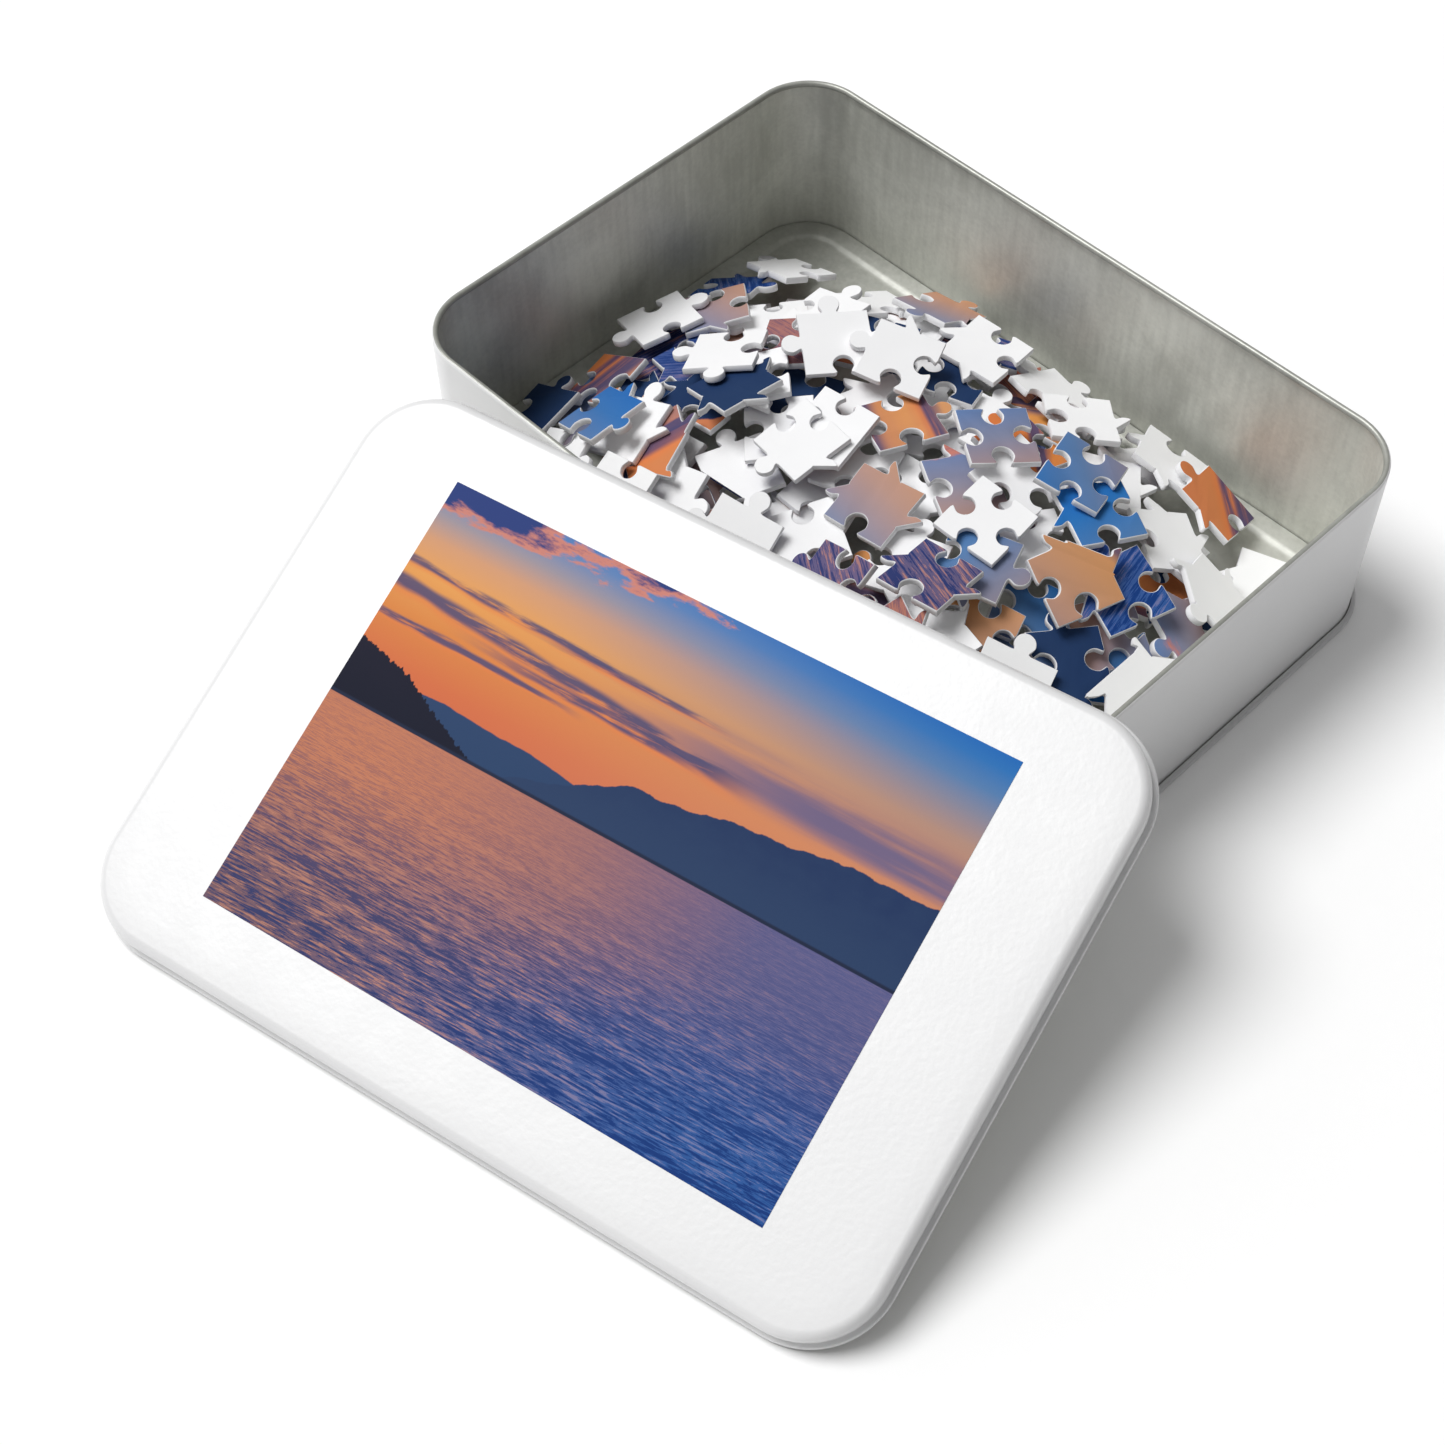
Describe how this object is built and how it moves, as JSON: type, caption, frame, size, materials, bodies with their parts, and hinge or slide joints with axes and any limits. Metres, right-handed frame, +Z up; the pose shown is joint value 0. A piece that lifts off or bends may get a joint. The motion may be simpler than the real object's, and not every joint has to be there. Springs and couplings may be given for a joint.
{
  "type": "boxed jigsaw puzzle",
  "caption": "Rounded tin box holding a heap of loose interlocking cardboard puzzle pieces, with its printed lid leaning open against one long side",
  "frame": {"origin": "middle of the whole set's footprint, on the surface that it stands on", "axes": "+Y runs from the leaning lid to the tin, along the set's greatest length; +X along the tin's long side; +Z up, the least extent"},
  "size_m": [0.2476, 0.2854, 0.0606],
  "materials": {
    "enamelled_tin": "white enamel outside, bare tinplate inside and on the rolled rim",
    "tin_base": "bare tinplate floor, white enamelled seam",
    "enamelled_lid": "white satin enamel with a faint pebble texture",
    "lid_print": "printed lake at sunset, satin",
    "card_back": "plain white back of the card",
    "print_navy": "printed card, dark blue hills",
    "print_sky": "printed card, blue sky",
    "print_sunset": "printed card, orange cloud",
    "print_dusk": "printed card, lilac sky",
    "print_ripple": "printed card, rippled water"
  },
  "bodies": {
    "tin": {"tin_wall": "enamelled_tin", "tin_base": "tin_base", "buried_pieces": "card_back", "puzzle_piece_01": "card_back", "puzzle_piece_02": "print_navy", "puzzle_piece_03": "card_back", "puzzle_piece_04": "print_sunset", "puzzle_piece_05": "card_back", "puzzle_piece_06": "print_ripple", "puzzle_piece_07": "card_back", "puzzle_piece_08": "print_dusk", "puzzle_piece_09": "card_back", "puzzle_piece_10": "print_sky", "puzzle_piece_11": "card_back", "puzzle_piece_12": "print_ripple", "puzzle_piece_13": "card_back", "puzzle_piece_14": "print_sunset", "puzzle_piece_15": "card_back", "puzzle_piece_16": "print_navy", "puzzle_piece_17": "card_back", "puzzle_piece_18": "print_dusk", "puzzle_piece_19": "card_back", "puzzle_piece_20": "print_navy", "puzzle_piece_21": "card_back", "puzzle_piece_22": "print_sunset", "puzzle_piece_23": "card_back", "puzzle_piece_24": "print_ripple", "puzzle_piece_25": "card_back", "puzzle_piece_28": "print_sky", "puzzle_piece_29": "card_back", "puzzle_piece_30": "print_ripple", "puzzle_piece_31": "card_back", "puzzle_piece_32": "print_sunset", "puzzle_piece_33": "card_back", "puzzle_piece_34": "print_navy", "puzzle_piece_35": "card_back", "puzzle_piece_36": "print_dusk", "puzzle_piece_38": "print_navy", "puzzle_piece_41": "card_back", "puzzle_piece_42": "print_ripple", "puzzle_piece_43": "card_back", "puzzle_piece_45": "card_back", "puzzle_piece_46": "print_sky", "puzzle_piece_48": "print_ripple", "puzzle_piece_50": "print_sunset", "puzzle_piece_51": "card_back"},
    "lid": {"lid_shell": "enamelled_lid", "lid_picture": "lid_print"},
    "loose_26": {"puzzle_piece_26": "print_dusk"},
    "loose_27": {"puzzle_piece_27": "card_back"},
    "loose_37": {"puzzle_piece_37": "card_back"},
    "loose_39": {"puzzle_piece_39": "card_back"},
    "loose_40": {"puzzle_piece_40": "print_sunset"},
    "loose_44": {"puzzle_piece_44": "print_dusk"},
    "loose_47": {"puzzle_piece_47": "card_back"},
    "loose_49": {"puzzle_piece_49": "card_back"},
    "loose_52": {"puzzle_piece_52": "print_navy"},
    "loose_53": {"puzzle_piece_53": "card_back"},
    "loose_54": {"puzzle_piece_54": "print_dusk"},
    "loose_55": {"puzzle_piece_55": "card_back"}
  },
  "joints": [
    {"name": "lid_lift", "type": "slide", "parent": "tin", "child": "lid", "axis": [0, 0, 1], "range_m": [0, 0.12]},
    {"name": "lift_piece_26", "type": "slide", "parent": "tin", "child": "loose_26", "axis": [0, 0, 1], "range_m": [0, 0.08]},
    {"name": "lift_piece_27", "type": "slide", "parent": "tin", "child": "loose_27", "axis": [0, 0, 1], "range_m": [0, 0.08]},
    {"name": "lift_piece_37", "type": "slide", "parent": "tin", "child": "loose_37", "axis": [0, 0, 1], "range_m": [0, 0.08]},
    {"name": "lift_piece_39", "type": "slide", "parent": "tin", "child": "loose_39", "axis": [0, 0, 1], "range_m": [0, 0.08]},
    {"name": "lift_piece_40", "type": "slide", "parent": "tin", "child": "loose_40", "axis": [0, 0, 1], "range_m": [0, 0.08]},
    {"name": "lift_piece_44", "type": "slide", "parent": "tin", "child": "loose_44", "axis": [0, 0, 1], "range_m": [0, 0.08]},
    {"name": "lift_piece_47", "type": "slide", "parent": "tin", "child": "loose_47", "axis": [0, 0, 1], "range_m": [0, 0.08]},
    {"name": "lift_piece_49", "type": "slide", "parent": "tin", "child": "loose_49", "axis": [0, 0, 1], "range_m": [0, 0.08]},
    {"name": "lift_piece_52", "type": "slide", "parent": "tin", "child": "loose_52", "axis": [0, 0, 1], "range_m": [0, 0.08]},
    {"name": "lift_piece_53", "type": "slide", "parent": "tin", "child": "loose_53", "axis": [0, 0, 1], "range_m": [0, 0.08]},
    {"name": "lift_piece_54", "type": "slide", "parent": "tin", "child": "loose_54", "axis": [0, 0, 1], "range_m": [0, 0.08]},
    {"name": "lift_piece_55", "type": "slide", "parent": "tin", "child": "loose_55", "axis": [0, 0, 1], "range_m": [0, 0.08]}
  ]
}
